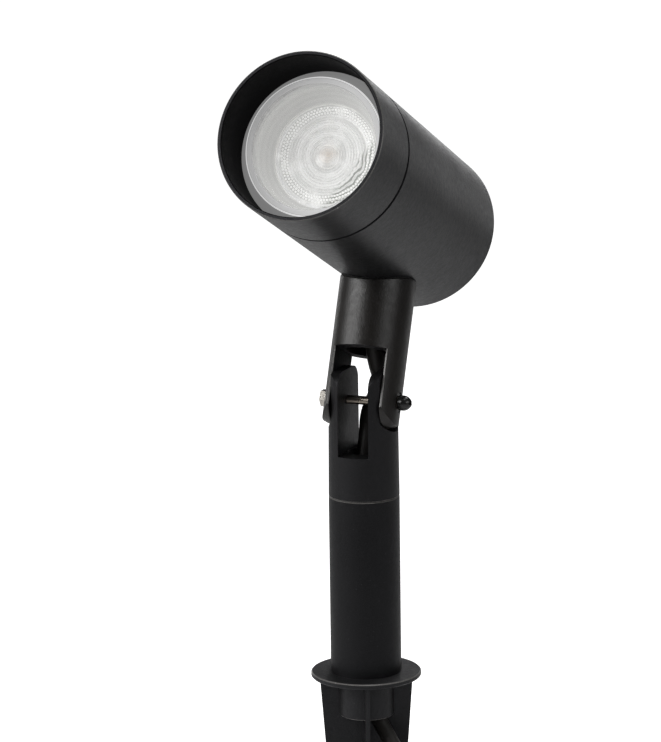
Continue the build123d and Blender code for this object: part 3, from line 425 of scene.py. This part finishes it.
for coat in (head_coat, stem_coat, spike_coat, fork_coat):
    coat.b.inputs["Specular Tint"].default_value = (0.94, 0.94, 1.0, 1)


def share(node, first, *others):
    """Coats of one node: each other material comes with the test that picks its polygons."""
    o = put(node, first, *[m for m, _ in others])
    for p in o.data.polygons:
        c, n = Vector(p.center), Vector(p.normal)
        for k, (_, test) in enumerate(others):
            if test(c, n):
                p.material_index = k + 1
                break
    return o


def head_r(c):
    return math.hypot(c.x, (c - H).dot(N))


def head_s(c):
    return (c - H).dot(F)


# Neck: painted highlight on the slot bevels, painted shade on the slot ceiling and the slot walls.
share("neck", neck_coat,
      (painted_highlight_bevel_coat, lambda c, n: 0.01201 < abs(c.x) < 0.0130 and (c - P).dot(N) < 0.0219
       and 0.35 < abs(n.x) < 0.97 and abs(n.dot(N)) < 0.2),
      (painted_shade_coat, lambda c, n: (n.dot(N) < -0.9 and 0.0215 < (c - P).dot(N) < 0.0225)
       or (abs(n.x) > 0.9 and abs(c.x) < 0.01205 and (c - P).dot(N) < 0.0219)))
# Painted highlight on the chamfers of the stem tube, the fork and the spike.
share("stem_tube", stem_coat, (painted_highlight_edge_coat, lambda c, n: c.z > 0.08374 and n.z > 0.3 and math.hypot(c.x, c.y) > 0.0153))
share("knuckle_base", fork_coat, (painted_highlight_edge_coat, lambda c, n: c.z < 0.08472 and -0.95 < n.z < -0.3
                                  and math.hypot(c.x, c.y) > 0.0155))
share("spike", spike_coat, (painted_highlight_edge_coat, lambda c, n: math.hypot(c.x, c.y) > 0.0244 and c.z > 0.0018 and n.z > 0.3
                            and n.z < 0.95),
      (painted_highlight_edge_coat, lambda c, n: -0.01835 < c.z < -0.01775 and -0.95 < n.z < -0.3
       and 0.0119 < math.hypot(c.x, c.y) < 0.0126))
# Housing: painted highlight on the back edge chamfers, painted shade in the front seam.
share("housing", head_coat, (painted_highlight_edge_coat, lambda c, n: head_r(c) > 0.0363 and 0.3 < abs(n.dot(F)) < 0.95
                             and head_s(c) < 0.0),
      (painted_shade_coat, lambda c, n: head_r(c) > 0.0350 and abs(n.dot(F)) > 0.3 and head_s(c) > 0.080))
# Painted light: a light grey coat with a glow on the glass ledge inside the hood, lifting the shade there.
ledge_painted_light_coat = powder("coat_ledge_painted_light", (0.34, 0.34, 0.33), 0.5, depth=0.00001)
ledge_painted_light_coat.b.inputs["Emission Color"].default_value = (1, 1, 0.98, 1)
ledge_painted_light_coat.b.inputs["Emission Strength"].default_value = 0.15
# Painted shade: a darker, duller coat inside the hood's bore.
painted_shade_bore_coat = powder("coat_hood_bore_painted_shade", (0.0020, 0.0018, 0.0022), 0.75, depth=0.000012, spec=0.10)
# Hood: painted highlight on the front rim, painted shade in the seam and the bore, painted light on the glass ledge.
share("hood", head_coat, (painted_highlight_edge_coat, lambda c, n: head_r(c) > 0.0369 and 0.3 < abs(n.dot(F)) < 0.95
                          and head_s(c) > 0.119),
      (painted_shade_coat, lambda c, n: head_r(c) > 0.0360 and abs(n.dot(F)) > 0.3 and head_s(c) < 0.0885),
      (ledge_painted_light_coat, lambda c, n: head_r(c) < 0.0325 and head_s(c) < 0.0945),
      (painted_shade_bore_coat, lambda c, n: head_r(c) < 0.03585))
for n in ("ground_nipple", "head_nipple", "head_washer", "head_locknut", "bracket", "bracket_screws",
          "holder_screws", "terminal_screws", "terminal_fixing_screw", "earth_screw"):
    put(n, zinc)
put("stem_insert", alu)
put("stem_grub_screw", screw_black)
put("cable_grommet", grommet)
put("swivel_ring", seal)
put("saddle_gasket", seal)
put("hood_oring", seal)
put("glass_gasket", silicone_painted_glow)
put("friction_washers", nylon)
put("clamp_nut", nut_steel)
put("lampholder", ceramic)
put("holder_contacts", brass)
put("earth_terminal", brass)
put("lamp_pins", brass)
put("terminal_block", polyamide)
put("lamp_wires", sleeve)
put("core_live", brown)
put("core_neutral", blue)
put("core_earth", earth)
put("lead_stem", sheath)
put("lead_head", sheath)
put("lamp_shell", lamp_white_painted_glow)
put("lamp_led", phosphor)
put("plug_body", plug_rubber)
put("plug_pins", nickel)
put("plug_earth_clips", nickel)
put("coil_tie", strap)

bolt = put("clamp_bolt", bolt_shaft, screw_black)
for p in bolt.data.polygons:
    p.material_index = 1 if p.center.x > 0.0172 else 0

# ------------------------------------------------------------------ round parts of the head
def head_radius(m, at=H):
    """Distance from the head axis, in metres, for the material's own point."""
    x = m.dot(m.coords(), X, at)
    n = m.dot(m.coords(), N, at)
    return m.math("SQRT", m.math("ADD", m.math("MULTIPLY", x, x), m.math("MULTIPLY", n, n)))


def lathe(name, profile, seg=128, caps=True):
    """Surface turned round the head axis from (s, r) pairs in millimetres."""
    me = bpy.data.meshes.new(name)
    bm = bmesh.new()
    rings = []
    for s, r in profile:
        if r < 1e-6:
            rings.append([bm.verts.new(in_head(0, 0, s / 1000))])
        else:
            rings.append([bm.verts.new(in_head(r / 1000 * math.cos(2 * math.pi * i / seg),
                                               r / 1000 * math.sin(2 * math.pi * i / seg), s / 1000))
                          for i in range(seg)])
    for a, b in zip(rings, rings[1:]):
        for i in range(seg):
            j = (i + 1) % seg
            if len(a) == 1 and len(b) == 1:
                continue
            if len(a) == 1:
                bm.faces.new((a[0], b[i], b[j]))
            elif len(b) == 1:
                bm.faces.new((a[i], b[0], a[j]))
            else:
                bm.faces.new((a[i], b[i], b[j], a[j]))
    return me, bm


def finish_mesh(me, bm, name, smooth=35):
    bmesh.ops.recalc_face_normals(bm, faces=bm.faces)
    bm.to_mesh(me)
    bm.free()
    for p in me.polygons:
        p.use_smooth = True
    me.set_sharp_from_angle(angle=math.radians(smooth))
    o = bpy.data.objects.new(name, me)
    bpy.context.scene.collection.objects.link(o)
    return o


# lamp lens: centre dome, stepped rings, a band of small domes, plain rim
S_LENS = 85.5
prof = [(S_LENS - 2.4, 0.0)]
prof += [(S_LENS + 0.55 * (1 - (r / 5.2) ** 2), r) for r in (0.001, 1.2, 2.4, 3.4, 4.3, 5.0)][1:]
r = 5.2
while r < 17.9:
    prof += [(S_LENS - 0.32, r), (S_LENS - 0.02, r + 0.35), (S_LENS - 0.30, r + 1.22)]
    r += 1.27
prof += [(S_LENS - 0.35, 18.3), (S_LENS - 0.30, 18.6), (S_LENS - 0.30, 22.35), (S_LENS + 0.45, 22.45),
         (S_LENS + 0.60, 22.6), (S_LENS + 0.60, 23.15), (S_LENS - 2.4, 23.15), (S_LENS - 2.4, 0.0)]
prof[0] = (S_LENS + 0.55, 0.0)
me, bm = lathe("lens_optic", prof, 144)
n_rings = len(bm.faces)
OFF_X, OFF_N = 0.45, 1.05      # the moulded pattern sits a little off the rim's centre
for rr, count, size in ((18.8, 88, 0.53), (20.1, 88, 0.57), (21.35, 88, 0.53)):
    for k in range(count):
        th = 2 * math.pi * (k + (0.5 if rr == 20.1 else 0.0)) / count
        c = (OFF_X + rr * math.cos(th), OFF_N + rr * math.sin(th))
        top = bm.verts.new(in_head(c[0] / 1000, c[1] / 1000, (S_LENS - 0.30 + size * 0.85) / 1000))
        prev = None
        for lev in (0.55, 0.0):
            rad = size * math.sqrt(max(0.0, 1 - lev * lev)) if lev else size
            ring = [bm.verts.new(in_head((c[0] + rad * math.cos(q * math.pi / 4)) / 1000,
                                         (c[1] + rad * math.sin(q * math.pi / 4)) / 1000,
                                         (S_LENS - 0.32 + size * 0.85 * lev) / 1000)) for q in range(8)]
            for q in range(8):
                if prev is None:
                    bm.faces.new((top, ring[q], ring[(q + 1) % 8]))
                else:
                    bm.faces.new((prev[q], ring[q], ring[(q + 1) % 8], prev[(q + 1) % 8]))
            prev = ring
lens = finish_mesh(me, bm, "lamp_lens_detail", 30)
optic = Mat("lamp_optic", (0.80, 0.80, 0.78), 0.16, ior=1.49)
rad = head_radius(optic, H + X * OFF_X / 1000 + N * OFF_N / 1000)
zone = optic.ramp(optic.map(rad, 0.0, 0.023, 0.0, 1.0),
                  [(0.0, (0.74, 0.66, 0.58)), (0.10, (0.80, 0.74, 0.68)), (0.2, (0.84, 0.83, 0.81)),
                   (0.33, (0.78, 0.78, 0.77)), (0.40, (0.98, 0.98, 0.97)), (0.50, (0.84, 0.84, 0.83)),
                   (0.60, (0.96, 0.96, 0.95)), (0.70, (0.80, 0.80, 0.79)), (0.785, (0.86, 0.86, 0.85)),
                   (0.80, (0.66, 0.66, 0.65)), (0.945, (0.62, 0.62, 0.61)), (0.96, (0.76, 0.76, 0.75)),
                   (1.0, (0.80, 0.80, 0.80))])
ripple = optic.math("SINE", optic.math("MULTIPLY", rad, 2 * math.pi / 0.00127))
swirl = optic.noise(110.0, 2.0, 0.6)
fleck = optic.noise(1500.0, 2.0, 0.6)
tone = optic.mix(optic.map(ripple, -1.0, 1.0, 0.0, 0.24), zone, (0.46, 0.46, 0.45))
tone = optic.mix(optic.map(swirl, 0.50, 0.66, 0.0, 0.55), tone, (1.0, 1.0, 0.99))
tone = optic.mix(optic.map(fleck, 0.5, 0.8, 0.0, 0.34), tone, (0.36, 0.37, 0.36))
# The side of the lens that gets painted shade below.
side = X * 0.85 - N * 0.53


def painted_shade_streaks(m, tone, amount):
    """Painted shade: darker wavy bands on one side of the lens, standing in for shade and reflection."""
    r = head_radius(m, H + X * OFF_X / 1000 + N * OFF_N / 1000)
    flow = m.noise(170.0, 2.0, 0.6)
    wave = m.math("SINE", m.math("ADD", m.math("MULTIPLY", r, 2 * math.pi / 0.0019), m.math("MULTIPLY", flow, 11.0)))
    where = m.math("MULTIPLY", m.map(m.dot(m.coords(), side, H), 0.0112, 0.0138, 0.0, 1.0),
                   m.map(r, 0.0128, 0.0145, 0.0, 1.0))
    fac = m.math("MULTIPLY", m.math("MULTIPLY", m.map(wave, 0.0, 0.75, 0.0, 1.0), where), amount)
    return m.mix(fac, tone, (0.20, 0.215, 0.19))


tone = painted_shade_streaks(optic, tone, 0.78)
optic.base(tone)
optic.bump(fleck, 0.00003, 0.5)
# Painted light: the lens glows in its own tones.
optic.link(tone, optic.b.inputs["Emission Color"])
optic.b.inputs["Emission Strength"].default_value = 0.37
dots = Mat("lamp_optic_dots_painted_glow", (0.92, 0.92, 0.91), 0.12, ior=1.49)
dn = dots.noise(1400.0, 2.0, 0.6)
dtone = painted_shade_streaks(dots, dots.mix(dots.map(dn, 0.4, 0.7, 0.0, 1.0), (0.98, 0.98, 0.97), (0.86, 0.86, 0.85)), 0.6)
dots.base(dtone)
dots.bump(dn, 0.00002, 0.5)
# Painted light: the small domes glow in their own tones.
dots.link(dtone, dots.b.inputs["Emission Color"])
dots.b.inputs["Emission Strength"].default_value = 0.41
lens.data.materials.append(optic.m)
lens.data.materials.append(dots.m)
for k, p in enumerate(lens.data.polygons):
    if k >= n_rings:
        p.material_index = 1
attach(lens, "lamp")
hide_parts("lamp_lens")

# baffle: turned rings on the cone round the lamp, with a painted glow
baffle = Mat("baffle_turned_painted_glow", (0.50, 0.50, 0.49), 0.42)
rad = head_radius(baffle)
fine = baffle.math("SINE", baffle.math("MULTIPLY", rad, 2 * math.pi / 0.00048))
band = baffle.noise(3.0, 1.0)
coarse = baffle.math("SINE", baffle.math("MULTIPLY", rad, 2 * math.pi / 0.0019))
both = baffle.math("ADD", baffle.math("MULTIPLY", fine, 0.5), baffle.math("MULTIPLY", coarse, 0.5))
baffle.base(baffle.mix(baffle.map(both, -1.0, 1.0, 0.0, 1.0), (0.49, 0.49, 0.48), (0.59, 0.59, 0.58)))
baffle.bump(fine, 0.00005, 0.7)
# Painted light: the baffle glows a little, lifting its shade.
baffle.b.inputs["Emission Color"].default_value = (1, 1, 0.98, 1)
baffle.b.inputs["Emission Strength"].default_value = 0.25
put("baffle_ring", baffle)

# cover glass: clear face, light frosted rim, grey cone, and a bright ring between them that is painted light; the rim
# and cone glow too
cover = Mat("cover_glass", (0.80, 0.82, 0.81), 0.08, ior=1.5)
rad = head_radius(cover)
t = cover.map(rad, 0.0270, 0.0360, 0.0, 1.0)
cover.link(cover.ramp(t, [(0.0, 0.05), (0.08, 0.06), (0.15, 1.0), (1.0, 1.0)]), cover.b.inputs["Alpha"])
rings = cover.math("SINE", cover.math("MULTIPLY", rad, 2 * math.pi / 0.00052))
light = cover.ramp(t, [(0.0, 0.57), (0.36, 0.57), (0.385, 0.38), (0.41, 0.85), (0.44, 0.85), (0.47, 0.30),
                       (0.90, 0.25), (1.0, 0.16)])
frost = cover.noise(2600.0, 3.0, 0.6)
shade = cover.mix(cover.math("MULTIPLY", cover.map(rings, -1.0, 1.0, 0.0, 1.0), 0.22), light, (0.30, 0.30, 0.30))
cover.base(cover.mix(cover.map(frost, 0.35, 0.75, 0.0, 0.12), shade, (0.12, 0.12, 0.12)))
cover.roughness(cover.math("ADD", cover.ramp(t, [(0.0, 0.03), (0.1, 0.04), (0.18, 0.40), (1.0, 0.45)]),
                           cover.math("MULTIPLY", frost, 0.06)))
# Painted light: the glow of the rim, the bright ring and the cone.
cover.link(cover.ramp(t, [(0.0, 0.28), (0.36, 0.28), (0.385, 0.20), (0.41, 0.60), (0.44, 0.60), (0.47, 0.19),
                          (0.90, 0.18), (1.0, 0.13)]), cover.b.inputs["Emission Color"])
cover.b.inputs["Emission Strength"].default_value = 1.0
cover.m.surface_render_method = "BLENDED" if hasattr(cover.m, "surface_render_method") else None
# Painted light: the side wall of the glass is light grey and glows, in place of light carried through the glass.
wall = Mat("glass_wall_painted_glow", (0.62, 0.62, 0.61), 0.45)
g = wall.noise(1800.0, 3.0, 0.6)
depth = wall.dot(wall.coords(), F, H)
w = wall.math("SINE", wall.math("MULTIPLY", depth, 2 * math.pi / 0.00075))
wall.base(wall.mix(wall.map(w, -1.0, 1.0, 0.0, 1.0), (0.60, 0.60, 0.59), (0.64, 0.64, 0.63)))
wall.roughness(wall.math("ADD", wall.math("MULTIPLY", g, 0.1), 0.4))
wall.bump(w, 0.00001, 0.5)
wall.b.inputs["Emission Color"].default_value = (1, 1, 0.985, 1)
wall.b.inputs["Emission Strength"].default_value = 0.20
pane = put("glass", cover, wall)
for p in pane.data.polygons:
    c = Vector(p.center) - H
    r0 = math.hypot(c.x, c.dot(N))
    if 0.0272 < r0 < 0.0316 and c.dot(F) < 0.0994:
        p.material_index = 1

# ------------------------------------------------------------------ cables
def v3(x, y, z):
    return Vector((x, y, z)) / 1000.0


def nurbs(name, pts, radius, res=6, sides=6, widths=None):
    cu = bpy.data.curves.new(name, "CURVE")
    cu.dimensions = "3D"
    cu.bevel_depth = radius
    cu.bevel_resolution = sides
    cu.resolution_u = res
    cu.use_fill_caps = True
    sp = cu.splines.new("NURBS")
    sp.points.add(len(pts) - 1)
    for q, p in zip(sp.points, pts):
        q.co = (*p, 1.0)
    for q, w in zip(sp.points, widths or ()):
        q.radius = w
    sp.order_u = 3
    sp.use_endpoint_u = True
    o = bpy.data.objects.new(name, cu)
    bpy.context.scene.collection.objects.link(o)
    return o


EXIT_AZ = math.radians(-23.6)
OUT = Vector((math.cos(EXIT_AZ), math.sin(EXIT_AZ), 0))
SIDE = Vector((-math.sin(EXIT_AZ), math.cos(EXIT_AZ), 0))
R_CORD = 0.0036


def on_cord(u, w, z):
    return (OUT * u + SIDE * w + Vector((0, 0, z))) / 1000.0


route = [on_cord(6.62, 0, -18.68), on_cord(14.65, 0, -28.24), on_cord(27.19, 0, -43.2), on_cord(37.67, 0, -79.72),
         on_cord(35.92, 0, -129.69), on_cord(37.38, 0, -171.67), on_cord(57.46, 0, -193.96),
         on_cord(79.36, 0, -211.4), on_cord(88.5, 0, -211.3)]
centre = on_cord(95.37, 41.6, 0)
LAYER = (-0.2107, -0.20345, -0.1962)
RO, RI = 0.0416, 0.0344
steps = [(290, 350, "r", RO, RI), (588, 648, "z", 0, 1), (886, 946, "r", RI, RO), (1184, 1244, "rz", 1, 2),
         (1482, 1542, "r", RI, RO)]
END = 1620


def coil_at(deg):
    rr, z = RO, LAYER[0]
    for a, b, kind, u, w in steps:
        if deg <= a:
            break
        t = min(1.0, (deg - a) / (b - a))
        t = t * t * (3 - 2 * t)
        if kind == "r":
            rr = u + (w - u) * t
        elif kind == "z":
            z = LAYER[u] + (LAYER[w] - LAYER[u]) * t
        else:
            z = LAYER[u] + (LAYER[w] - LAYER[u]) * math.sin(t * math.pi / 2)
            rr = RI + (RO - RI) * math.cos(t * math.pi / 2)
    return rr, z


for deg in range(0, END + 1, 18):
    rr, z = coil_at(deg)
    k = 2 / (1 + math.cos(math.radians(9)))
    a = math.radians(deg)
    wob = 1 + 0.004 * math.sin(3.1 * a + 0.7)
    d = OUT * math.sin(a) - SIDE * math.cos(a)
    route.append(centre + d * rr * k * (wob if 0 < deg < END else 1.0) + Vector((0, 0, z)))
route += [on_cord(81.5, 83.2, -196.2), on_cord(65.5, 83.2, -196.2), on_cord(45.37, 83.2, -196.2)]
cord = nurbs("supply_cord_run", route, R_CORD)
cord.data.materials.append(sheath.m)
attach(cord, "ground")
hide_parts("supply_cord", "supply_coil", "cord_tail")

# the cable behind the clamp bolt
def in_neck(x, y, h):
    return P + X * x - F * y + N * h


kp = [v3(0, 0, 79.0), v3(0, 0, 90.0), v3(0, 0, 100.5), v3(0.7, 2.6, 112.0), v3(-0.6, 8.0, 121.0),
      v3(2.8, 18.4, 132.5), in_neck(0.0012, 0.0072, 0.0198), in_neck(0, 0.0013, 0.0315),
      in_neck(0, 0, 0.0385), in_neck(0, 0, 0.0435)]
tmp = nurbs("knuckle_cable_line", kp, R_CORD, res=10, sides=6,
            widths=(1, 1, 1, 1, 1.02, 1.10, 1.16, 1.16, 1.1, 1.0))
dg = bpy.context.evaluated_depsgraph_get()
km = bpy.data.meshes.new_from_object(tmp.evaluated_get(dg))
bpy.data.objects.remove(tmp)
for p in km.polygons:
    p.use_smooth = True
cable = bpy.data.objects.new("knuckle_cable", km)
bpy.context.scene.collection.objects.link(cable)
km.materials.clear()
km.materials.append(sheath.m)
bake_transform(cable)
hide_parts("lead_knuckle")
